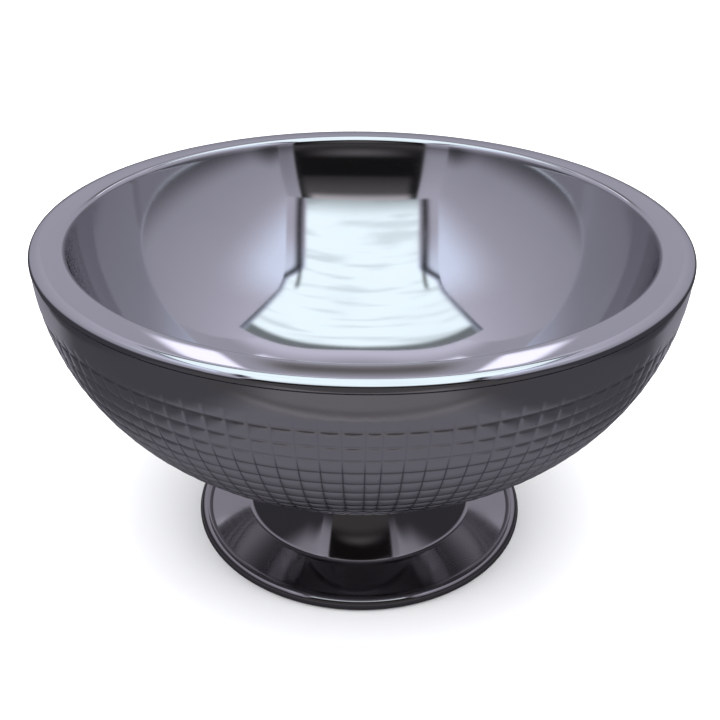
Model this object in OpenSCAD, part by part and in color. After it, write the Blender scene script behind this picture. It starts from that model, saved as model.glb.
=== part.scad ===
// Pedestal punch bowl with two spun steel walls, in millimetres.
// +Z is up, the origin is on the table at the bowl's axis.

/* [Bowl] */
// Diameter over the rim
bowl_d = 400; // [370:5:480]
// Height from the table to the top of the rim
bowl_h = 220; // [214:1:260]
// Width of the flat ring on top of the rim, with its rounded edges
rim_w = 21; // [16:1:30]
// Thickness of the steel sheet
sheet_t = 1; // [0.8:0.1:1.5]

/* [Walls] */
// Radius of the round side of the outer shell, seen in section
shell_arc_r = 141; // [139:1:144]
// Radius of the round side of the inner bowl, seen in section
inner_arc_r = 160; // [152:1:162]
// How far the inner bowl's side still leans outwards where it meets the rim, in degrees
inner_lean = 10; // [9.5:0.5:11]

/* [Rim] */
// Rounding of both edges of the rim
rim_round = 4; // [3:0.5:6]
// Depth of the rim's outer lip, from the top of the rim
lip_h = 5; // [4.5:0.5:8]
// Height of the weld seam between the lip and the shell
seam_h = 1; // [0.6:0.1:1.5]
// How far the weld seam lies back from the lip
seam_recess = 0.3; // [0.1:0.1:0.5]

/* [Foot] */
// Diameter over the foot's rolled edge
foot_d = 232; // [200:2:260]
// Diameter of the neck under the bowl
neck_d = 92; // [84:2:110]
// Diameter of the foot's bell where it turns into the skirt
bell_d = 162; // [150:2:170]
// How far the bell's side leans outwards where it meets the skirt, in degrees
bell_lean = 42; // [40:1:48]
// Rounding between the bell and the skirt
fillet_r = 6; // [4:0.5:8]
// Slope of the skirt, in degrees
skirt_slope = 3; // [1:0.5:6]
// Diameter of the rolled edge, seen in section
bead_d = 9.2; // [7:0.2:11]
// How much is ground off the rolled edge, so that it stands flat
bead_grind = 0.15; // [0.1:0.05:0.4]

/* [Fastening] */
// Diameter of the stud's shank
stud_d = 8; // [6:1:10]
// Length of the shank below the foot's top plate
stud_out = 16; // [15:1:24]
// Diameter of the stiffening disc between the walls
disc_d = 80; // [60:2:90]
// Thickness of the stiffening disc
disc_t = 2; // [1.5:0.5:3]
// Width of the nut across its flats
nut_af = 13; // [11:1:17]
// Height of the nut
nut_h = 6.5; // [5:0.5:8]

/* [Hidden] */
$fn = 96;
// Angle of each straight step along a round wall
arc_step = 3;
// Radial clearance of the holes that the stud passes through
hole_clear = 0.2;
// Height and radius of the stud's flat head
head_h = 2;
head_r = 9;
// Washers: thickness and outer radius
flat_t = 1.6;
flat_r = 12;
spring_t = 2;
spring_r = 6.5;
// Slit in the spring washer
spring_gap = 1.2;
// Rounding where the foot's top plate turns down into the neck
plate_round = 4;

bowl_r = bowl_d / 2;
lip_z = bowl_h - lip_h;
shell_top_z = lip_z - seam_h;
// The shell's outer face stands a little inside the lip
shell_r = bowl_r - 0.4;
shell_c = shell_r - shell_arc_r;
shell_z = shell_top_z - shell_arc_r;
// The inner bowl's inner face
inner_r = bowl_r - rim_w;
inner_top_z = bowl_h - rim_round;
// Centre of the side's arc, placed so that it runs smoothly into the rim's rounding
inner_c = inner_r + rim_round - (inner_arc_r + rim_round) * cos(inner_lean);
inner_cz = inner_top_z + (inner_arc_r + rim_round) * sin(inner_lean);
inner_z = inner_cz - inner_arc_r;

neck_r = neck_d / 2;
bead_r = bead_d / 2;
bead_c = foot_d / 2 - bead_r;
bead_z = bead_r - bead_grind;
stud_r = stud_d / 2;
hole_r = stud_r + hole_clear;
bell_r = bell_d / 2;
// The skirt's upper face meets the bead a little above the bead's middle
skirt_edge_z = bead_z + 1.2;
skirt_in_r = bell_r - fillet_r * sin(skirt_slope);
skirt_in_z = skirt_edge_z + (bead_c - bead_r - skirt_in_r) * tan(skirt_slope);
fillet_z = skirt_in_z + fillet_r * cos(skirt_slope);
// The bell's arc runs smoothly from the top plate's rounding into the fillet
plate_c = neck_r - plate_round;
plate_cz = shell_z - plate_round;
bell_dr = bell_r - plate_c;
bell_dz = fillet_z - plate_cz;
bell_du = bell_dr * cos(bell_lean) + bell_dz * sin(bell_lean);
bell_arc_r = (
  bell_dr * bell_dr + bell_dz * bell_dz - 2 * fillet_r * bell_du
  - plate_round * plate_round + fillet_r * fillet_r
) / (2 * (plate_round + fillet_r - bell_du));
bell_c = bell_r + (bell_arc_r - fillet_r) * cos(bell_lean);
bell_cz = fillet_z + (bell_arc_r - fillet_r) * sin(bell_lean);
bell_top = atan2(bell_cz - plate_cz, bell_c - plate_c);
disc_z = shell_z + sheet_t;
washer_z = shell_z - sheet_t;
spring_z = washer_z - flat_t;
nut_z = spring_z - spring_t;

steel_inner = [0.78, 0.78, 0.82];
steel_outer = [0.38, 0.38, 0.41];
steel_foot = [0.33, 0.32, 0.34];
steel_plain = [0.62, 0.62, 0.63];

// Points on an arc in the section plane, from angle a0 to a1, ends included
function arc(c, z, r, a0, a1) =
  let (n = max(1, ceil(abs(a1 - a0) / arc_step)))
  [for (i = [0:n]) let (a = a0 + (a1 - a0) * i / n) [c + r * cos(a), z + r * sin(a)]];

function reversed(p) = [for (i = [len(p) - 1:-1:0]) p[i]];

// Turns a closed section around the axis
module spun(section) {
  rotate_extrude() polygon(section);
}

// A ring with a round hole, standing on height z
module ring(r, hole, z, h) {
  translate([0, 0, z]) difference() {
    cylinder(r = r, h = h);
    translate([0, 0, -1]) cylinder(r = hole, h = h + 2);
  }
}

// Inner bowl: flat floor, round side, then the rim turned outwards and down over the shell
function inner_face(d) = concat(
  [[0, inner_z - d]],
  arc(inner_c, inner_cz, inner_arc_r + d, -90, -inner_lean),
  arc(inner_r + rim_round, inner_top_z, rim_round - d, 180 - inner_lean, 90),
  arc(bowl_r - rim_round, bowl_h - rim_round, rim_round - d, 90, 0),
  [[bowl_r - d, lip_z]]
);

module inner_bowl() {
  color(steel_inner) spun(concat(inner_face(0), reversed(inner_face(sheet_t))));
}

// Outer shell: plain band and round side down to a flat bottom with the stud's hole
function shell_face(d) = concat(
  arc(shell_c, shell_top_z, shell_arc_r - d, 0, -90),
  [[hole_r, shell_z + d]]
);

module outer_shell() {
  color(steel_outer) spun(concat(shell_face(0), reversed(shell_face(sheet_t))));
}

// Weld seam that closes the two walls, lying back in a narrow groove under the lip
module rim_weld() {
  color(steel_plain) ring(
    bowl_r - 0.4 - seam_recess, bowl_r - sheet_t, shell_top_z, seam_h
  );
}

// Disc that spreads the foot's load over the shell's bottom, between the walls
module stiffening_disc() {
  color(steel_plain) ring(disc_d / 2, stud_r, disc_z, disc_t);
}

// Stud with a flat head, welded to the disc and reaching down through the shell and the foot
module mounting_stud() {
  shank_z = washer_z - stud_out;
  color(steel_plain) union() {
    translate([0, 0, disc_z + disc_t]) cylinder(r = head_r, h = head_h);
    translate([0, 0, shank_z]) cylinder(r = stud_r, h = disc_z + disc_t - shank_z + 0.5);
  }
}

// Foot: top plate, bell and a shallow skirt
function foot_face(d) = concat(
  [[hole_r, shell_z - d]],
  arc(plate_c, plate_cz, plate_round - d, 90, bell_top),
  arc(bell_c, bell_cz, bell_arc_r + d, 180 + bell_top, 180 + bell_lean),
  arc(bell_r, fillet_z, fillet_r + d, 180 + bell_lean, 270 - skirt_slope),
  [[bead_c, skirt_edge_z - bead_r * tan(skirt_slope) - d / cos(skirt_slope)]]
);

module foot_skirt() {
  color(steel_foot) difference() {
    spun(concat(foot_face(0), reversed(foot_face(sheet_t))));
    bead_tube(bead_r);
  }
}

// Solid tube ring of the given section radius along the foot's edge
module bead_tube(r) {
  rotate_extrude() translate([bead_c, bead_z]) circle(r = r);
}

// Rolled edge that the foot stands on, a hollow tube ring ground flat underneath
module foot_bead() {
  color(steel_foot) difference() {
    bead_tube(bead_r);
    bead_tube(bead_r - sheet_t);
    translate([0, 0, -bead_r]) cylinder(r = foot_d, h = bead_r);
  }
}

module flat_washer() {
  color(steel_plain) ring(flat_r, hole_r, spring_z, flat_t);
}

module spring_washer() {
  color(steel_plain) difference() {
    ring(spring_r, hole_r, nut_z, spring_t);
    translate([0, -spring_gap / 2, nut_z - 1]) cube([spring_r + 1, spring_gap, spring_t + 2]);
  }
}

module foot_nut() {
  color(steel_plain) translate([0, 0, nut_z - nut_h]) difference() {
    cylinder(d = nut_af / cos(30), h = nut_h, $fn = 6);
    translate([0, 0, -1]) cylinder(r = stud_r, h = nut_h + 2);
  }
}

inner_bowl();
outer_shell();
rim_weld();
stiffening_disc();
mounting_stud();
foot_skirt();
foot_bead();
flat_washer();
spring_washer();
foot_nut();
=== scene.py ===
import math

import bmesh
import bpy
from mathutils import Matrix, Vector


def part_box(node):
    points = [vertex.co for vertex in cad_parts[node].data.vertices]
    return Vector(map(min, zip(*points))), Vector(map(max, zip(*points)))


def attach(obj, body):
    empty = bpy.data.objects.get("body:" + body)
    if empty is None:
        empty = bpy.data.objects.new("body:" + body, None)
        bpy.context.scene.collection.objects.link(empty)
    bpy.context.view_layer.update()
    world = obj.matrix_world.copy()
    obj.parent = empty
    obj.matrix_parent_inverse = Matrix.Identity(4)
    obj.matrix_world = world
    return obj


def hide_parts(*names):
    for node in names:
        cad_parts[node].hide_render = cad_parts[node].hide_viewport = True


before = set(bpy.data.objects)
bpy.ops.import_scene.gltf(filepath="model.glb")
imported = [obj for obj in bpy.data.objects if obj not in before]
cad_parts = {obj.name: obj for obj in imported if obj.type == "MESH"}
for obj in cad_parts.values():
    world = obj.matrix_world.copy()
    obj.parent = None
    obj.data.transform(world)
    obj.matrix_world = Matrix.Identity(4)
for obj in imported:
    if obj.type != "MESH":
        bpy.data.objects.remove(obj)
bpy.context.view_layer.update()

# Sizes, in metres. Heights and radii come from the frame's boxes.
MM = 0.001
liner_low, liner_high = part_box("inner_bowl")
shell_low, shell_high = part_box("outer_shell")
weld_low, weld_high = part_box("rim_weld")
disc_low, disc_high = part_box("stiffening_disc")
stud_low, stud_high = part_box("mounting_stud")
skirt_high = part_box("foot_skirt")[1]
bead_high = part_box("foot_bead")[1]
flat_low, flat_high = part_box("flat_washer")
spring_low, spring_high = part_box("spring_washer")
nut_low, nut_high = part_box("foot_nut")

SHEET = 1 * MM
HOLE_R = 4.2 * MM
STUD_R = 4 * MM

# Rim: a slightly crowned ring with a rounded inner edge, a soft outer roll and a tighter lip
RIM_WIDTH = 21 * MM
RIM_INNER_ROUND = 4 * MM
RIM_CROWN = math.radians(2.5)
RIM_ROLL = 14 * MM
RIM_ROLL_LEAN = math.radians(20)
RIM_LIP = 2.6 * MM
# Inner bowl: how far the side still leans outwards where it meets the rim
LEAN = math.radians(10)

# Foot
NECK_R = 46 * MM
BELL_R = 81 * MM
BELL_LEAN = math.radians(42)
FILLET = 6 * MM
PLATE_ROUND = 4 * MM
SKIRT_SLOPE = math.radians(3)
BEAD_GRIND = 0.15 * MM
BEAD_JOINT_RISE = 1.2 * MM

# Tiles pressed into the outer shell: lengths along the section, measured from the weld
TILE_COLUMNS = 112
ODD_TILE = math.radians(2.3)
ODD_TILE_END = math.radians(-87)
BAND_END = 14.0 * MM
FIRST_GROOVE = 21.6 * MM
TILE_ROW = 10.0 * MM
TILE_ROWS = 17
# Where the mesh is divided within a tile: close together at the pressed lines
TILE_STEPS = (0.0, 0.07, 0.2, 0.5, 0.8, 0.93)
PILLOW_DEPTH = 0.62 * MM
LINE_DEPTH = 0.14 * MM
TILE_UNEVENNESS = 0.22
# Higher is flatter in the middle of a tile and steeper at its edges
PILLOW_POWER = 4.0
# A pressed line starts here, as a share of the way from a tile's middle to its edge
LINE_START = 0.82
# The lines are darkened, partly by dark polish residue and partly by painted shade: little in the first rows,
# fully a few rows down
TOP_ROWS_RESIDUE_AND_SHADE = 0.25
RESIDUE_AND_SHADE_FROM_ROW = 1.6
FULL_RESIDUE_AND_SHADE_ROW = 3.2


# ---------------------------------------------------------------- node helpers

class Field:
    """A number in a node tree, so that formulas are written as formulas."""

    def __init__(self, tree, socket):
        self.tree = tree
        self.socket = socket

    def math(self, operation, *others):
        node = self.tree.nodes.new("ShaderNodeMath")
        node.operation = operation
        self.tree.links.new(self.socket, node.inputs[0])
        for slot, value in enumerate(others, start=1):
            plug(self.tree, value, node.inputs[slot])
        return Field(self.tree, node.outputs[0])

    def __add__(self, other):
        return self.math("ADD", other)

    def __sub__(self, other):
        return self.math("SUBTRACT", other)

    def __mul__(self, other):
        return self.math("MULTIPLY", other)

    def __truediv__(self, other):
        return self.math("DIVIDE", other)

    def __neg__(self):
        return self.math("MULTIPLY", -1.0)

    __radd__ = __add__
    __rmul__ = __mul__

    def __rsub__(self, other):
        return (-self) + other

    def __pow__(self, other):
        return self.math("POWER", other)

    def abs(self):
        return self.math("ABSOLUTE")

    def floor(self):
        return self.math("FLOOR")

    def fract(self):
        return self.math("FRACT")

    def sin(self):
        return self.math("SINE")

    def cos(self):
        return self.math("COSINE")

    def at_most(self, other):
        return self.math("MINIMUM", other)

    def at_least(self, other):
        return self.math("MAXIMUM", other)

    def above(self, other):
        return self.math("GREATER_THAN", other)

    def angle(self, other):
        return self.math("ARCTAN2", other)

    def rise(self, start, end):
        """0 below start, 1 above end, smooth in between."""
        node = self.tree.nodes.new("ShaderNodeMapRange")
        node.interpolation_type = "SMOOTHSTEP"
        self.tree.links.new(self.socket, node.inputs[0])
        plug(self.tree, start, node.inputs[1])
        plug(self.tree, end, node.inputs[2])
        return Field(self.tree, node.outputs[0])

    def band(self, middle, half):
        """1 at the middle, falling smoothly to 0 at half a width away."""
        return 1 - (self - middle).abs().rise(0, half)


def plug(tree, value, socket):
    if isinstance(value, Field):
        tree.links.new(value.socket, socket)
    else:
        socket.default_value = value


def node(tree, kind, **settings):
    made = tree.nodes.new(kind)
    for name, value in settings.items():
        setattr(made, name, value)
    return made


def length(a, b):
    return (a * a + b * b) ** 0.5


def split(tree, vector_socket):
    parts = node(tree, "ShaderNodeSeparateXYZ")
    tree.links.new(vector_socket, parts.inputs[0])
    return [Field(tree, parts.outputs[i]) for i in range(3)]


def vector(tree, x, y, z):
    joined = node(tree, "ShaderNodeCombineXYZ")
    for slot, value in enumerate((x, y, z)):
        plug(tree, value, joined.inputs[slot])
    return joined.outputs[0]


def object_place(tree):
    """The x, y and z of a shaded point, in metres."""
    return split(tree, node(tree, "ShaderNodeTexCoord").outputs["Object"])


def noise(tree, place, scale, detail=2.0):
    texture = node(tree, "ShaderNodeTexNoise")
    tree.links.new(place, texture.inputs["Vector"])
    texture.inputs["Scale"].default_value = scale
    texture.inputs["Detail"].default_value = detail
    return Field(tree, texture.outputs["Fac"])


# ---------------------------------------------------------------- materials

def blank_material(name):
    material = bpy.data.materials.new(name)
    material.use_nodes = True
    tree = material.node_tree
    tree.nodes.clear()
    output = node(tree, "ShaderNodeOutputMaterial")
    return material, tree, output


def blend_colour(tree, amount, first, second):
    mix = node(tree, "ShaderNodeMix", data_type="RGBA")
    plug(tree, amount, mix.inputs["Factor"])
    for socket, colour in ((mix.inputs["A"], first), (mix.inputs["B"], second)):
        if isinstance(colour, tuple):
            socket.default_value = (*colour, 1)
        else:
            tree.links.new(colour, socket)
    return mix.outputs["Result"]


def polished_steel(name, tone, roughness, turning, ripple, haze, crease=None):
    """Spun and polished sheet steel.

    turning is the depth of the fine lines left by spinning, ripple the depth of the soft waves
    left by polishing, haze the added roughness of wiped patches, and crease names an attribute
    that is 1 along pressed lines, which are darkened: partly dark polish residue, partly painted shade.
    """
    material, tree, output = blank_material(name)
    x, y, z = object_place(tree)
    radius = length(x, y)
    place = vector(tree, x, y, z)
    rings = vector(tree, radius, z, 0.0)
    fine_lines = noise(tree, rings, 4200.0, 3.0)
    broad_lines = noise(tree, rings, 260.0, 2.0)
    patches = noise(tree, place, 14.0, 3.0).rise(0.45, 0.72)
    wipes = noise(tree, vector(tree, radius * 6.0, y.angle(x) * 0.4, z * 6.0), 60.0, 3.0).rise(0.5, 0.8)
    waves = noise(tree, place, 34.0, 1.0)

    shader = node(tree, "ShaderNodeBsdfPrincipled")
    shader.inputs["Metallic"].default_value = 1.0
    cloudy = tuple(0.93 * part for part in tone)
    colour = blend_colour(tree, patches * 0.35 + broad_lines * 0.25, tone, cloudy)
    rough = patches * haze + wipes * (haze * 0.6) + fine_lines * (roughness * 0.5) + roughness * 0.75
    if crease:
        lines = node(tree, "ShaderNodeAttribute", attribute_name=crease)
        dark = Field(tree, lines.outputs["Fac"])
        # The pressed lines are darkened: partly dark polish residue, partly painted shade in the grooves
        residue_and_painted_shade = tuple(0.22 * part for part in tone)
        colour = blend_colour(tree, dark ** 1.5, colour, residue_and_painted_shade)
        rough = rough + dark * 0.12
    tree.links.new(colour, shader.inputs["Base Color"])
    plug(tree, rough, shader.inputs["Roughness"])

    height = fine_lines * turning + broad_lines * (turning * 4.0) + waves * ripple
    bump = node(tree, "ShaderNodeBump")
    bump.inputs["Strength"].default_value = 1.0
    bump.inputs["Distance"].default_value = 1.0
    plug(tree, height, bump.inputs["Height"])
    tree.links.new(bump.outputs["Normal"], shader.inputs["Normal"])
    tree.links.new(shader.outputs[0], output.inputs["Surface"])
    return material


def turned_steel(name, tone, roughness, groove):
    """Plain steel with the marks of the lathe, for the parts inside the foot."""
    material, tree, output = blank_material(name)
    x, y, z = object_place(tree)
    radius = length(x, y)
    lines = noise(tree, vector(tree, radius, z, 0.0), 1800.0, 3.0)
    stain = noise(tree, vector(tree, x, y, z), 90.0, 3.0)
    shader = node(tree, "ShaderNodeBsdfPrincipled")
    shader.inputs["Metallic"].default_value = 1.0
    dull = tuple(0.72 * part for part in tone)
    tree.links.new(blend_colour(tree, stain.rise(0.4, 0.75), tone, dull), shader.inputs["Base Color"])
    plug(tree, lines * 0.2 + stain * 0.15 + roughness, shader.inputs["Roughness"])
    bump = node(tree, "ShaderNodeBump")
    bump.inputs["Distance"].default_value = 1.0
    plug(tree, lines * groove, bump.inputs["Height"])
    tree.links.new(bump.outputs["Normal"], shader.inputs["Normal"])
    tree.links.new(shader.outputs[0], output.inputs["Surface"])
    return material


mirror_steel = polished_steel(
    "mirror_steel", (0.62, 0.62, 0.635), 0.055, turning=0.5e-7, ripple=1.2e-5, haze=0.03)
tiled_steel = polished_steel(
    "tiled_steel", (0.60, 0.60, 0.62), 0.10, turning=2e-7, ripple=1.5e-5, haze=0.05, crease="crease")
foot_steel = polished_steel(
    "foot_steel", (0.42, 0.405, 0.405), 0.07, turning=2e-7, ripple=1.0e-5, haze=0.04)
weld_steel = turned_steel("weld_steel", (0.30, 0.29, 0.30), 0.30, 4e-6)
plain_steel = turned_steel("plain_steel", (0.56, 0.56, 0.57), 0.22, 3e-6)


# ---------------------------------------------------------------- mesh helpers

def arc(centre, radius, start, end, steps, first=0):
    """Points on an arc in the section plane, from angle start to end in radians."""
    r, z = centre
    angles = [start + (end - start) * k / steps for k in range(first, steps + 1)]
    return [(r + radius * math.cos(a), z + radius * math.sin(a)) for a in angles]


def even_turns(count):
    return [2 * math.pi * k / count for k in range(count)]


def spin(name, section, turns, crease_angle=32):
    """Turns a closed section of (radius, height) points around the axis.

    The section is a list, or a function of the angle that gives a list.
    """
    sections = [section(t) if callable(section) else section for t in turns]
    points, rings = [], []
    for k, (radius, _) in enumerate(sections[0]):
        start = len(points)
        if radius < 1e-7:
            points.append((0.0, 0.0, sections[0][k][1]))
            rings.append([start] * len(turns))
        else:
            for turn, outline in zip(turns, sections):
                points.append((outline[k][0] * math.cos(turn), outline[k][0] * math.sin(turn), outline[k][1]))
            rings.append(list(range(start, start + len(turns))))
    faces = []
    for below, above in zip(rings, rings[1:] + rings[:1]):
        for k in range(len(turns)):
            after = (k + 1) % len(turns)
            corners = [below[k], below[after], above[after], above[k]]
            face = [c for i, c in enumerate(corners) if c not in corners[:i]]
            if len(face) > 2:
                faces.append(face)
    mesh = bpy.data.meshes.new(name)
    mesh.from_pydata(points, [], faces)
    return finish_mesh(name, mesh, crease_angle)


def finish_mesh(name, mesh, crease_angle=32):
    shape = bmesh.new()
    shape.from_mesh(mesh)
    bmesh.ops.recalc_face_normals(shape, faces=shape.faces)
    shape.to_mesh(mesh)
    shape.free()
    mesh.polygons.foreach_set("use_smooth", [True] * len(mesh.polygons))
    mesh.set_sharp_from_angle(angle=math.radians(crease_angle))
    piece = bpy.data.objects.new(name, mesh)
    bpy.context.scene.collection.objects.link(piece)
    return piece


def hand_over(piece, stands_for, material):
    """Gives a piece its finish, and puts it in the place of its CAD node."""
    if not piece.data.materials:
        piece.data.materials.append(material)
    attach(piece, "root")
    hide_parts(stands_for)


# ---------------------------------------------------------------- Geometry Nodes helpers

class Recipe:
    """A Geometry Nodes tree with named inputs, ending in Realize Instances and Set Material."""

    def __init__(self, name, **inputs):
        self.tree = bpy.data.node_groups.new(name, "GeometryNodeTree")
        self.values = inputs
        sides = self.tree.interface
        sides.new_socket("Geometry", in_out="INPUT", socket_type="NodeSocketGeometry")
        kinds = {float: "NodeSocketFloat", int: "NodeSocketInt", bpy.types.Material: "NodeSocketMaterial"}
        for label, value in inputs.items():
            sides.new_socket(label, in_out="INPUT", socket_type=kinds[type(value)])
        sides.new_socket("Geometry", in_out="OUTPUT", socket_type="NodeSocketGeometry")
        self.start = node(self.tree, "NodeGroupInput")
        self.shape = self.start.outputs["Geometry"]

    def size(self, label):
        return Field(self.tree, self.start.outputs[label])

    def place(self):
        return split(self.tree, node(self.tree, "GeometryNodeInputPosition").outputs[0])

    def move(self, offset, where=None):
        mover = node(self.tree, "GeometryNodeSetPosition")
        self.tree.links.new(self.shape, mover.inputs["Geometry"])
        self.tree.links.new(offset, mover.inputs["Offset"])
        if where is not None:
            plug(self.tree, where, mover.inputs["Selection"])
        self.shape = mover.outputs[0]

    def store(self, label, value):
        keep = node(self.tree, "GeometryNodeStoreNamedAttribute", data_type="FLOAT", domain="POINT")
        keep.inputs["Name"].default_value = label
        self.tree.links.new(self.shape, keep.inputs["Geometry"])
        plug(self.tree, value, keep.inputs["Value"])
        self.shape = keep.outputs[0]

    def close(self):
        real = node(self.tree, "GeometryNodeRealizeInstances")
        paint = node(self.tree, "GeometryNodeSetMaterial")
        end = node(self.tree, "NodeGroupOutput")
        self.tree.links.new(self.shape, real.inputs[0])
        self.tree.links.new(real.outputs[0], paint.inputs["Geometry"])
        self.tree.links.new(self.start.outputs["Finish"], paint.inputs["Material"])
        self.tree.links.new(paint.outputs[0], end.inputs[0])

    def apply(self, piece):
        """Runs the tree on a piece, and leaves a plain mesh."""
        self.close()
        modifier = piece.modifiers.new(self.tree.name, "NODES")
        modifier.node_group = self.tree
        for item in self.tree.interface.items_tree:
            if item.in_out == "INPUT" and item.name in self.values:
                modifier[item.identifier] = self.values[item.name]
        graph = bpy.context.evaluated_depsgraph_get()
        made = bpy.data.meshes.new_from_object(
            piece.evaluated_get(graph), preserve_all_data_layers=True, depsgraph=graph)
        piece.modifiers.clear()
        made.name = piece.name
        piece.data = made
        return piece


# ---------------------------------------------------------------- inner bowl

rim_r = liner_high.x
rim_top = liner_high.z
liner_floor = liner_low.z + SHEET
rim_inner_r = rim_r - RIM_WIDTH


def rim_arcs():
    """Centres, as (radius, height), and radii of the arcs that make up the rim."""
    up = math.pi / 2
    lip_r = rim_r - RIM_LIP
    round_r = rim_inner_r + RIM_INNER_ROUND
    tilt = math.sin(RIM_CROWN)
    roll_reach = (RIM_ROLL - RIM_LIP) * math.sin(RIM_ROLL_LEAN)
    crown_r = (lip_r - round_r - roll_reach + (RIM_ROLL + RIM_INNER_ROUND) * tilt) / (2 * tilt)
    crown = Vector((round_r + (crown_r - RIM_INNER_ROUND) * tilt, rim_top - crown_r))
    rounding = crown + from_axis(up + RIM_CROWN) * (crown_r - RIM_INNER_ROUND)
    roll = crown + from_axis(up - RIM_CROWN) * (crown_r - RIM_ROLL)
    lip = roll + from_axis(up - RIM_ROLL_LEAN) * (RIM_ROLL - RIM_LIP)
    return rounding, (crown, crown_r), roll, lip


def from_axis(angle):
    return Vector((math.cos(angle), math.sin(angle)))


def liner_section():
    """Flat floor, round side, rim, and the lip that covers the shell's edge."""
    rounding, (crown, crown_r), roll, lip = rim_arcs()
    side_r = (rounding.y + RIM_INNER_ROUND * math.sin(LEAN) - liner_floor) / (1 - math.sin(LEAN))
    side = (rounding.x - (side_r + RIM_INNER_ROUND) * math.cos(LEAN), liner_floor + side_r)
    up = math.pi / 2

    def face(depth, side_steps, steps):
        low = liner_floor - depth
        return (
            [(0.0, low), (side[0] * 0.5, low)]
            + arc(side, side_r + depth, -up, -LEAN, side_steps)
            + arc(rounding, RIM_INNER_ROUND - depth, math.pi - LEAN, up + RIM_CROWN, steps, first=1)
            + arc(crown, crown_r - depth, up + RIM_CROWN, up - RIM_CROWN, steps, first=1)
            + arc(roll, RIM_ROLL - depth, up - RIM_CROWN, up - RIM_ROLL_LEAN, steps, first=1)
            + arc(lip, RIM_LIP - depth, up - RIM_ROLL_LEAN, 0, steps, first=1)
            + [(rim_r - depth, weld_high.z)]
        )

    return face(0, 90, 8) + face(SHEET, 24, 4)[::-1]


inner_bowl = spin("inner_bowl_spun", liner_section(), even_turns(320))
hand_over(inner_bowl, "inner_bowl", mirror_steel)


# ---------------------------------------------------------------- outer shell

shell_r = shell_high.x
shell_top = shell_high.z
shell_arc_r = shell_high.z - shell_low.z
shell_arc = (shell_r - shell_arc_r, shell_top)
column_angle = (2 * math.pi - ODD_TILE) / (TILE_COLUMNS - 1)
last_groove = FIRST_GROOVE + (TILE_ROWS - 1) * TILE_ROW


def tile_turns():
    turns = []
    for column in range(TILE_COLUMNS):
        width = column_angle if column < TILE_COLUMNS - 1 else ODD_TILE
        start = ODD_TILE_END + column * column_angle
        turns += [start + width * step for step in TILE_STEPS]
    return turns


def shell_stations():
    """Lengths along the section at which the outer face has a ring of points."""
    stations = [BAND_END * k / 4 for k in range(4)]
    first_row = FIRST_GROOVE - BAND_END
    stations += [BAND_END + first_row * step for step in TILE_STEPS]
    for row in range(TILE_ROWS - 1):
        start = FIRST_GROOVE + row * TILE_ROW
        stations += [start + TILE_ROW * step for step in TILE_STEPS]
    quarter = shell_arc_r * math.pi / 2
    stations += [last_groove + (quarter - last_groove) * k / 5 for k in range(6)]
    return stations


def shell_section():
    def on_arc(radius, station):
        angle = station / shell_arc_r
        return (shell_arc[0] + radius * math.cos(angle), shell_arc[1] - radius * math.sin(angle))

    stations = shell_stations()
    outer = [on_arc(shell_arc_r, s) for s in stations] + [(HOLE_R, shell_low.z)]
    inner = [on_arc(shell_arc_r - SHEET, stations[-1] * k / 14) for k in range(15)]
    return outer + [(HOLE_R, shell_low.z + SHEET)] + inner[::-1]


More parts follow.
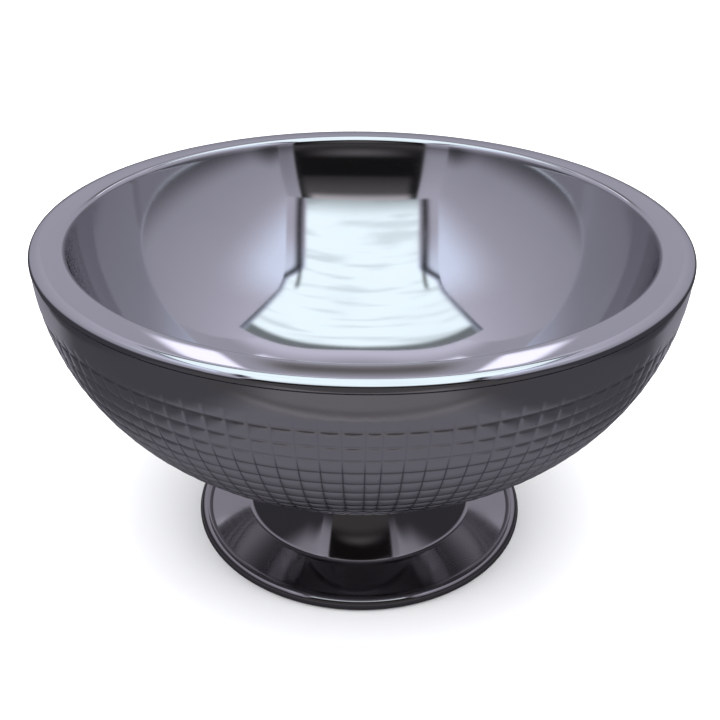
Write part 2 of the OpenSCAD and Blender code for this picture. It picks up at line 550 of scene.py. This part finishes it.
def press_tiles(shell):
    """Presses the pillow-shaped tiles and the lines between them into the shell's outer face."""
    recipe = Recipe(
        "press_tiles",
        **{
            "Columns": float(TILE_COLUMNS), "Column Angle": column_angle, "Odd Column Angle": ODD_TILE,
            "Start Angle": ODD_TILE_END, "Row Length": TILE_ROW, "Band End": BAND_END,
            "First Groove": FIRST_GROOVE, "Last Groove": last_groove, "Pillow Depth": PILLOW_DEPTH,
            "Line Depth": LINE_DEPTH, "Unevenness": TILE_UNEVENNESS, "Seed": 7, "Finish": tiled_steel,
        },
    )
    tree = recipe.tree
    x, y, z = recipe.place()
    out = length(x, y) - shell_arc[0]
    down = shell_arc[1] - z
    slope = down.angle(out)
    reach = length(out, down)
    on_outside = reach.above(shell_arc_r - SHEET / 2)
    along = slope * shell_arc_r

    turn = y.angle(x)
    columns = recipe.size("Columns")
    share_of_turn = ((turn - recipe.size("Start Angle")) / math.tau + 1e-6).fract()
    swept = share_of_turn * math.tau / recipe.size("Column Angle")
    column = swept.floor().at_most(columns - 1)
    is_odd = column.above(columns - 1.5)
    odd_width = recipe.size("Odd Column Angle") / recipe.size("Column Angle")
    column_width = 1 - is_odd * (1 - odd_width)
    across = ((swept - column) / column_width).at_most(1.0) * 2 - 1

    first = recipe.size("First Groove")
    band_end = recipe.size("Band End")
    rows = (along - first) / recipe.size("Row Length") + 1e-4
    row = rows.floor()
    below_first = rows.above(0.0)
    in_row = (rows - row) * 2 - 1
    in_first_row = (along - band_end) / (first - band_end)
    upright = below_first * in_row + (1 - below_first) * in_first_row.at_least(0.0)

    chance = node(tree, "FunctionNodeRandomValue", data_type="FLOAT")
    chance.inputs[2].default_value = -1.0
    chance.inputs[3].default_value = 1.0
    plug(tree, row * 131 + column, chance.inputs["ID"])
    plug(tree, recipe.size("Seed"), chance.inputs["Seed"])
    lean = Field(tree, chance.outputs[1]) * recipe.size("Unevenness")

    pillow = (1 - across.abs() ** PILLOW_POWER) * (1 - upright.abs() ** PILLOW_POWER)
    fullness = (1 + lean * across + lean * 0.6 * upright) * pillow
    line = across.abs().rise(LINE_START, 1.0).at_least(upright.abs().rise(LINE_START, 1.0))
    last = recipe.size("Last Groove")
    within = along.rise(band_end, first) * (1 - along.rise(last - recipe.size("Row Length"), last))
    depth = ((1 - fullness) * recipe.size("Pillow Depth") + line * recipe.size("Line Depth")) * within
    flat_part = depth * slope.cos()
    offset = vector(tree, -(flat_part * turn.cos()), -(flat_part * turn.sin()), depth * slope.sin())
    # How dark the pressed lines are painted, partly polish residue and partly painted shade, weaker in the
    # first rows
    residue_and_shade_rise = along.rise(first + RESIDUE_AND_SHADE_FROM_ROW * TILE_ROW, first + FULL_RESIDUE_AND_SHADE_ROW * TILE_ROW)
    kept_residue_and_shade = residue_and_shade_rise * (1 - TOP_ROWS_RESIDUE_AND_SHADE) + TOP_ROWS_RESIDUE_AND_SHADE
    recipe.store("crease", line * kept_residue_and_shade * within * on_outside)
    recipe.move(offset, where=on_outside)
    return recipe.apply(shell)


outer_shell = spin("outer_shell_tiled", shell_section(), tile_turns(), crease_angle=60)
press_tiles(outer_shell)
hand_over(outer_shell, "outer_shell", tiled_steel)


# ---------------------------------------------------------------- weld under the rim

def weld_section():
    inside = weld_low.x * -1 - 0.7 * MM
    middle_z = (weld_low.z + weld_high.z) / 2
    half = (weld_high.z - weld_low.z) / 2
    face = arc((weld_high.x - half, middle_z), half, -math.pi / 2, math.pi / 2, 6)
    return [(inside, weld_low.z)] + face + [(inside, weld_high.z)]


rim_weld = spin("rim_weld_bead", weld_section(), even_turns(360))
hand_over(rim_weld, "rim_weld", weld_steel)


# ---------------------------------------------------------------- foot

bead_r = (bead_high.z + BEAD_GRIND) / 2
bead_centre = (bead_high.x - bead_r, bead_high.z - bead_r)


def foot_section():
    """Top plate, a bell whose side leans out more and more, a small fillet, then the skirt."""
    skirt_edge_z = bead_centre[1] + BEAD_JOINT_RISE
    fillet_end_r = BELL_R - FILLET * math.sin(SKIRT_SLOPE)
    fillet_end_z = skirt_edge_z + (bead_centre[0] - bead_r - fillet_end_r) * math.tan(SKIRT_SLOPE)
    fillet = Vector((BELL_R, fillet_end_z + FILLET * math.cos(SKIRT_SLOPE)))
    plate = Vector((NECK_R - PLATE_ROUND, skirt_high.z - PLATE_ROUND))
    # The bell's arc touches the plate's rounding at its top and the fillet at its foot
    lean = Vector((math.cos(BELL_LEAN), math.sin(BELL_LEAN)))
    gap = fillet - plate
    toward = gap.dot(lean)
    bell_r = (gap.length_squared - 2 * FILLET * toward - PLATE_ROUND**2 + FILLET**2) / (
        2 * (PLATE_ROUND + FILLET - toward))
    bell = fillet + lean * (bell_r - FILLET)
    top_lean = math.atan2(bell.y - plate.y, bell.x - plate.x)
    skirt_end_r = bead_centre[0] - math.sqrt(bead_r**2 - BEAD_JOINT_RISE**2) + 0.2 * MM
    skirt_end_z = fillet_end_z - (skirt_end_r - fillet_end_r) * math.tan(SKIRT_SLOPE)

    def face(depth, steps):
        rounding = arc(plate, PLATE_ROUND - depth, math.pi / 2, top_lean, 8)
        side = arc(bell, bell_r + depth, math.pi + top_lean, math.pi + BELL_LEAN, steps, first=1)
        base = arc(fillet, FILLET + depth, math.pi + BELL_LEAN, 1.5 * math.pi - SKIRT_SLOPE, 14, first=1)
        last_r, last_z = base[-1]
        end_z = skirt_end_z - depth / math.cos(SKIRT_SLOPE)
        run = [
            (last_r + (skirt_end_r - last_r) * k / 6, last_z + (end_z - last_z) * k / 6)
            for k in range(1, 7)
        ]
        inner_start = [(HOLE_R, skirt_high.z - depth), (plate.x * 0.6, skirt_high.z - depth)]
        return inner_start + rounding + side + base + run

    return face(0, 48) + face(SHEET, 24)[::-1]


foot_skirt = spin("foot_skirt_spun", foot_section(), even_turns(288))
hand_over(foot_skirt, "foot_skirt", foot_steel)


def bead_section():
    ground = math.asin(bead_centre[1] / bead_r)
    return arc(bead_centre, bead_r, -ground, math.pi + ground, 52)


foot_bead = spin("foot_bead_rolled", bead_section(), even_turns(288))
hand_over(foot_bead, "foot_bead", foot_steel)


# ---------------------------------------------------------------- fastening inside the foot

def chamfered_ring(inside, outside, low, high, edge):
    """Section of a flat ring with all four edges chamfered."""
    return [
        (inside, low + edge), (inside + edge, low), (outside - edge, low), (outside, low + edge),
        (outside, high - edge), (outside - edge, high), (inside + edge, high), (inside, high - edge),
    ]


stiffening_disc = spin(
    "stiffening_disc_turned",
    chamfered_ring(STUD_R, disc_high.x, disc_low.z, disc_high.z, 0.3 * MM),
    even_turns(128),
)
hand_over(stiffening_disc, "stiffening_disc", plain_steel)

flat_washer = spin(
    "flat_washer_turned",
    chamfered_ring(HOLE_R, flat_high.x, flat_low.z, flat_high.z, 0.25 * MM),
    even_turns(96),
)
hand_over(flat_washer, "flat_washer", plain_steel)

THREAD_PITCH = 1.25 * MM
THREAD_DEPTH = 0.6 * MM
THREAD_STEPS = 8
STUD_CHAMFER = 0.8 * MM
HEAD_H = 2 * MM
head_r = stud_high.x
thread_top = nut_high.z + 1.5 * MM


def stud_section():
    """Flat head, plain shank and a finely divided lower shank for the thread."""
    foot_z = stud_low.z
    start_z = foot_z + STUD_CHAMFER
    thread_length = thread_top - foot_z - STUD_CHAMFER
    rings = int(thread_length / THREAD_PITCH * THREAD_STEPS)
    shank = [(STUD_R, start_z + thread_length * k / rings) for k in range(rings + 1)]
    head_z = stud_high.z - HEAD_H
    return (
        [(0.0, foot_z), (STUD_R - STUD_CHAMFER, foot_z)] + shank
        + [(STUD_R, head_z), (head_r - 0.3 * MM, head_z), (head_r, head_z + 0.3 * MM)]
        + [(head_r, stud_high.z - 0.6 * MM), (head_r - 0.6 * MM, stud_high.z), (0.0, stud_high.z)]
    )


def cut_thread(stud):
    """Cuts a screw thread into the lower part of the shank."""
    recipe = Recipe(
        "cut_thread",
        **{
            "Pitch": THREAD_PITCH, "Depth": THREAD_DEPTH, "Bottom": stud_low.z,
            "Top": thread_top, "Finish": plain_steel,
        },
    )
    x, y, z = recipe.place()
    turn = y.angle(x)
    wave = (z / recipe.size("Pitch") - turn / math.tau).fract()
    ridge = 1 - (wave * 2 - 1).abs()
    bottom, top = recipe.size("Bottom"), recipe.size("Top")
    run_out = z.rise(bottom, bottom + 0.9 * MM) * (1 - z.rise(top - 2 * MM, top))
    cut = ridge * recipe.size("Depth") * run_out
    shank = length(x, y).above(STUD_R * 0.9) * (1 - z.above(top))
    recipe.move(vector(recipe.tree, -(cut * turn.cos()), -(cut * turn.sin()), 0.0), where=shank)
    return recipe.apply(stud)


mounting_stud = spin("mounting_stud_threaded", stud_section(), even_turns(48))
cut_thread(mounting_stud)
hand_over(mounting_stud, "mounting_stud", plain_steel)


# The nut's flat end faces, as a share of its half width, and the slope of its corner chamfers
NUT_FACE_SHARE = 0.97
NUT_CHAMFER = math.radians(30)


def nut_section(turn):
    """Hexagon with chamfered corners: the chamfer falls away as the corner stands out."""
    half_width = (nut_high.y - nut_low.y) / 2
    sixth = math.pi / 3
    corner = (turn % sixth) - sixth / 2
    outside = half_width / math.cos(corner)
    inside = STUD_R
    flat_r = half_width * NUT_FACE_SHARE
    drop = (outside - flat_r) * math.tan(NUT_CHAMFER)
    edge = 0.4 * MM
    return [
        (inside + edge, nut_low.z), (flat_r, nut_low.z), (outside, nut_low.z + drop),
        (outside, nut_high.z - drop), (flat_r, nut_high.z), (inside + edge, nut_high.z),
        (inside, nut_high.z - edge), (inside, nut_low.z + edge),
    ]


foot_nut = spin("foot_nut_hexagon", nut_section, even_turns(72), crease_angle=20)
hand_over(foot_nut, "foot_nut", plain_steel)


def split_ring():
    """Spring washer: a square wire wound once, with a slit and both ends a little apart in height."""
    slit = math.radians(14)
    steps = 72
    outside = spring_high.x
    inside = HOLE_R
    low, high = spring_low.z, spring_high.z
    offset = 0.12 * MM
    outline = chamfered_ring(inside, outside, low + offset, high - offset, 0.15 * MM)
    points = []
    for k in range(steps + 1):
        turn = slit / 2 + (math.tau - slit) * k / steps
        lift = offset * (2 * k / steps - 1)
        points += [(r * math.cos(turn), r * math.sin(turn), z + lift) for r, z in outline]
    count = len(outline)
    faces = [list(range(count)), list(range(steps * count, (steps + 1) * count))]
    for k in range(steps):
        for i in range(count):
            after = (i + 1) % count
            faces.append([k * count + i, k * count + after, (k + 1) * count + after, (k + 1) * count + i])
    mesh = bpy.data.meshes.new("spring_washer_split")
    mesh.from_pydata(points, [], faces)
    return finish_mesh("spring_washer_split", mesh)


spring_washer = split_ring()
hand_over(spring_washer, "spring_washer", plain_steel)


# ---------------------------------------------------------------- stage

def sheet(name, profile, width, glow=None, material=None):
    """A stage sheet: the points (y, z) of its profile, drawn out from one x to another."""
    left, right = width
    points = [(left, y, z) for y, z in profile] + [(right, y, z) for y, z in profile]
    count = len(profile)
    faces = [[k, k + 1, count + k + 1, count + k] for k in range(count - 1)]
    return stage_piece(name, points, faces, material or glowing(name, glow))


def side_sheet(name, x, y_range, z_range, glow):
    points = [(x, y, z) for y in y_range for z in z_range]
    return stage_piece(name, points, [[0, 1, 3, 2]], glowing(name, glow))


def stage_piece(name, points, faces, material):
    mesh = bpy.data.meshes.new(name)
    mesh.from_pydata(points, [], faces)
    mesh.materials.append(material)
    piece = bpy.data.objects.new(name, mesh)
    bpy.context.scene.collection.objects.link(piece)
    return piece


def glowing(name, glow):
    """A glowing cloth: glow gives its colour and brightness from x, y and z."""
    material, tree, output = blank_material(name)
    colour, strength = glow(tree, *object_place(tree))
    shader = node(tree, "ShaderNodeEmission")
    if isinstance(colour, tuple):
        shader.inputs["Color"].default_value = (*colour, 1)
    else:
        tree.links.new(colour, shader.inputs["Color"])
    plug(tree, strength, shader.inputs["Strength"])
    tree.links.new(shader.outputs[0], output.inputs["Surface"])
    material.cycles.emission_sampling = "NONE"
    return material


def only_in_reflections(piece):
    piece.visible_camera = False
    piece.visible_diffuse = False
    piece.visible_shadow = False
    piece.visible_transmission = False


WHITE_CLOTH = (0.88, 1.0, 1.06)
LAVENDER = (0.95, 0.93, 1.12)
PALE_BLUE = (0.87, 0.95, 1.18)
TAUPE = (1.03, 0.97, 1.03)
COOL_GREY = (0.98, 0.95, 1.10)

TENT_HALF = 0.50
TENT_FRONT = -0.56
TENT_BACK = 0.72
TENT_TOP = 1.40
CLOTH_FRONT_Z = 0.65
# Top cloth: height of its ridge, how it curves to the front and how it falls to the back
RIDGE_Z = 1.16
FRONT_CURVE = 1.7
BACK_FALL = 0.44
BACK_FALL_START = 0.08
TOP_BACK = 0.56
TOP_STEPS = 28
# Front cloth: the dark opening's sides, and how soft they are
OPENING_LEFT = -0.345
OPENING_RIGHT = 0.375
OPENING_EDGE = 0.02
SECOND_LOOK = 0.42


def top_glow(tree, x, y, z):
    """White cloth over the top and the upper front, with dark seams along its sides."""
    aside = x.abs()
    edge = 0.345 + y.rise(-0.20, -0.02) * 0.115
    white = 1 - aside.rise(edge - 0.015, edge + 0.02)
    seam = aside.band(edge + 0.05, 0.055)
    fold = aside.band(0.385, 0.03) * (1 - y.rise(-0.02, 0.06)) * y.rise(-0.3, -0.15)
    folds = noise(tree, vector(tree, x * 1.2, y * 9.0, 0.0), 1.6, 2.0).rise(0.48, 0.66)
    back = 1 - y.rise(0.50 - aside * 0.1, 0.55 - aside * 0.12)
    front = z.rise(CLOTH_FRONT_Z - 0.03, CLOTH_FRONT_Z + 0.12) * 0.65 + 0.35
    bright = (1.55 - folds * 0.35) * front * back + (1 - back) * 0.25
    bluer = y.rise(-0.45, -0.15)
    side = (0.6 + bluer * (1 - y.rise(0.0, 0.3)) * 0.4) * (1 - seam * 0.92)
    strength = (white * bright + (1 - white) * side) * (1 - fold * 0.8)
    cloth = blend_colour(tree, bluer, LAVENDER, PALE_BLUE)
    return blend_colour(tree, white, cloth, WHITE_CLOTH), strength


def side_glow(tree, x, y, z):
    """Side cloth, dark at its foot and brightest next to the top's front part."""
    bright = z.rise(0.55, 0.95) * (1 - y.rise(-0.10, 0.32))
    start = 0.27 - y.rise(-0.50, -0.30) * 0.07
    lit = z.rise(start, start + 0.15)
    strength = (0.28 + z * 0.40 + bright * 0.42) * lit + (1 - lit) * 0.06
    return blend_colour(tree, bright, LAVENDER, PALE_BLUE), strength


def front_glow(tree, x, y, z):
    """Dark opening with a grey flap hanging into it from the white cloth, side cloth around it."""
    from_left = x.rise(OPENING_LEFT, OPENING_LEFT + OPENING_EDGE)
    opening = from_left * (1 - x.rise(OPENING_RIGHT, OPENING_RIGHT + OPENING_EDGE))
    lit = z.rise(0.22, 0.35)
    cloth = (0.20 + z * 0.62 - x.rise(0.3, 0.45) * 0.14) * lit + (1 - lit) * 0.05
    flap_width = x.rise(-0.30, -0.24) * (1 - x.rise(0.32, 0.38))
    flap = z.rise(0.46, 0.49) * flap_width * z.rise(0.40, 0.62) * 0.10
    shelf = z.band(0.33, 0.035) * x.band(0.02, 0.36) * 0.12
    white_width = x.rise(-0.32, -0.26) * (1 - x.rise(0.28, 0.34))
    white = z.rise(CLOTH_FRONT_Z - 0.06, CLOTH_FRONT_Z) * 0.5 * white_width
    # Not like real cloth: the opening is brighter to second and later reflections
    again = Field(tree, node(tree, "ShaderNodeLightPath").outputs["Ray Depth"]).above(1.5)
    low = (1 - z.rise(0.26, 0.33)) * 0.07
    inside = flap + shelf + white + low + 0.01 + again * SECOND_LOOK
    strength = opening * inside + (1 - opening) * cloth
    return blend_colour(tree, opening * (1 - again), LAVENDER, TAUPE), strength


def back_glow(tree, x, y, z):
    """Back cloth: a dark middle between two bright strips of light, paler towards the top."""
    aside = x.abs()
    middle = (1 - aside.rise(0.10, 0.19)) * z.band(0.745, 0.16)
    strip_width = aside.rise(0.20, 0.22) * (1 - aside.rise(0.29, 0.33))
    strips = strip_width * z.rise(0.64, 0.68) * (1 - z.rise(0.86, 0.96))
    lit = z.rise(0.20, 0.45)
    strength = 0.15 + lit * 0.33 - middle * 0.32 + strips * 1.15 + z.rise(0.85, 1.15) * 0.35
    return blend_colour(tree, middle, LAVENDER, TAUPE), strength


def floor_glow(tree, x, y, z):
    """Table cloth: lighter in a strip towards the front with a fold across it, dark under the bowl."""
    strip = 1 - x.abs().rise(0.17, 0.30)
    shadow = length(x, y).rise(0.07, 0.24)
    fold = y.band(-0.430, 0.022) * -0.07 + y.band(-0.404, 0.016) * 0.07
    behind = y.rise(0.0, 0.15) * 0.2
    strength = (0.085 + strip * (0.105 + fold) + behind) * (0.12 + shadow * 0.88)
    return blend_colour(tree, y.rise(-0.42, -0.36), TAUPE, COOL_GREY), strength


def pale_floor():
    material, tree, output = blank_material("pale_floor")
    x, y, z = object_place(tree)
    shader = node(tree, "ShaderNodeBsdfPrincipled")
    shader.inputs["Roughness"].default_value = 0.9
    tint = noise(tree, vector(tree, x, y, z), 3.0, 2.0)
    colour = blend_colour(tree, tint, (0.86, 0.86, 0.87), (0.88, 0.88, 0.89))
    tree.links.new(colour, shader.inputs["Base Color"])
    tree.links.new(shader.outputs[0], output.inputs["Surface"])
    return material


def top_profile():
    """The top cloth curves down from its ridge to the front, and falls straight to the back."""
    points = []
    for k in range(TOP_STEPS + 1):
        y = TENT_FRONT + (TOP_BACK - TENT_FRONT) * k / TOP_STEPS
        front_drop = (RIDGE_Z - CLOTH_FRONT_Z) * (min(y, 0.0) / TENT_FRONT) ** FRONT_CURVE
        back_drop = BACK_FALL * max(0.0, y - BACK_FALL_START)
        points.append((y, RIDGE_Z - front_drop - back_drop))
    return points


FLOOR_HALF = 4.0
floor = sheet(
    "floor", [(-FLOOR_HALF, -0.1 * MM), (FLOOR_HALF, -0.1 * MM)], (-FLOOR_HALF, FLOOR_HALF),
    material=pale_floor())
floor.visible_glossy = False

table_z = 0.2 * MM
tent = [
    sheet("tent_top", top_profile(), (-TENT_HALF, TENT_HALF), top_glow),
    side_sheet("tent_left", -TENT_HALF, (TENT_FRONT, TENT_BACK), (0.0, TENT_TOP), side_glow),
    side_sheet("tent_right", TENT_HALF, (TENT_FRONT, TENT_BACK), (0.0, TENT_TOP), side_glow),
    sheet(
        "tent_front", [(TENT_FRONT, 0.0), (TENT_FRONT, CLOTH_FRONT_Z)],
        (-TENT_HALF, TENT_HALF), front_glow),
    sheet("tent_back", [(TENT_BACK, 0.0), (TENT_BACK, TENT_TOP)], (-TENT_HALF, TENT_HALF), back_glow),
    sheet("tent_lid", [(TENT_FRONT, TENT_TOP), (TENT_BACK, TENT_TOP)], (-TENT_HALF, TENT_HALF), back_glow),
    sheet("tent_table", [(TENT_FRONT, table_z), (TENT_BACK, table_z)], (-TENT_HALF, TENT_HALF), floor_glow),
]
for cloth in tent:
    only_in_reflections(cloth)


def softbox(name, place, size, power):
    data = bpy.data.lights.new(name, "AREA")
    data.shape = "RECTANGLE"
    data.size, data.size_y = size
    data.energy = power
    light = bpy.data.objects.new(name, data)
    light.location = place
    light.rotation_euler = (Vector((0, 0, 0.1)) - Vector(place)).to_track_quat("-Z", "Y").to_euler()
    light.visible_glossy = False
    light.visible_camera = False
    bpy.context.scene.collection.objects.link(light)


softbox("top_light", (0.0, -0.2, 2.2), (2.4, 2.4), 60)
softbox("left_light", (-2.0, -0.6, 1.2), (1.4, 1.4), 22)
softbox("right_light", (2.0, -0.6, 1.2), (1.4, 1.4), 22)

world = bpy.data.worlds.new("studio")
world.use_nodes = True
world.node_tree.nodes["Background"].inputs["Color"].default_value = (0.93, 0.94, 0.96, 1)
world.node_tree.nodes["Background"].inputs["Strength"].default_value = 1.1
bpy.context.scene.world = world
# The hollow bowl mirrors itself many times near its rim
bpy.context.scene.cycles.max_bounces = 16
bpy.context.scene.cycles.glossy_bounces = 14
bpy.context.scene.view_settings.view_transform = "Standard"
bpy.context.scene.view_settings.look = "None"


# ---------------------------------------------------------------- camera

CAMERA_LENS = 46.28
CAMERA_PITCH = math.radians(29.633)
CAMERA_ROLL = 0.0107
camera_data = bpy.data.cameras.new("camera")
camera_data.lens = CAMERA_LENS
camera_data.sensor_width = 36
camera_data.clip_start = 0.01
camera = bpy.data.objects.new("camera", camera_data)
camera_place = Vector((-0.0032, -2.7312, 2.1455)) * rim_r
camera.matrix_world = (
    Matrix.Translation(camera_place)
    @ Matrix.Rotation(math.pi / 2 - CAMERA_PITCH, 4, "X")
    @ Matrix.Rotation(CAMERA_ROLL, 4, "Z")
)
bpy.context.scene.collection.objects.link(camera)
bpy.context.scene.camera = camera
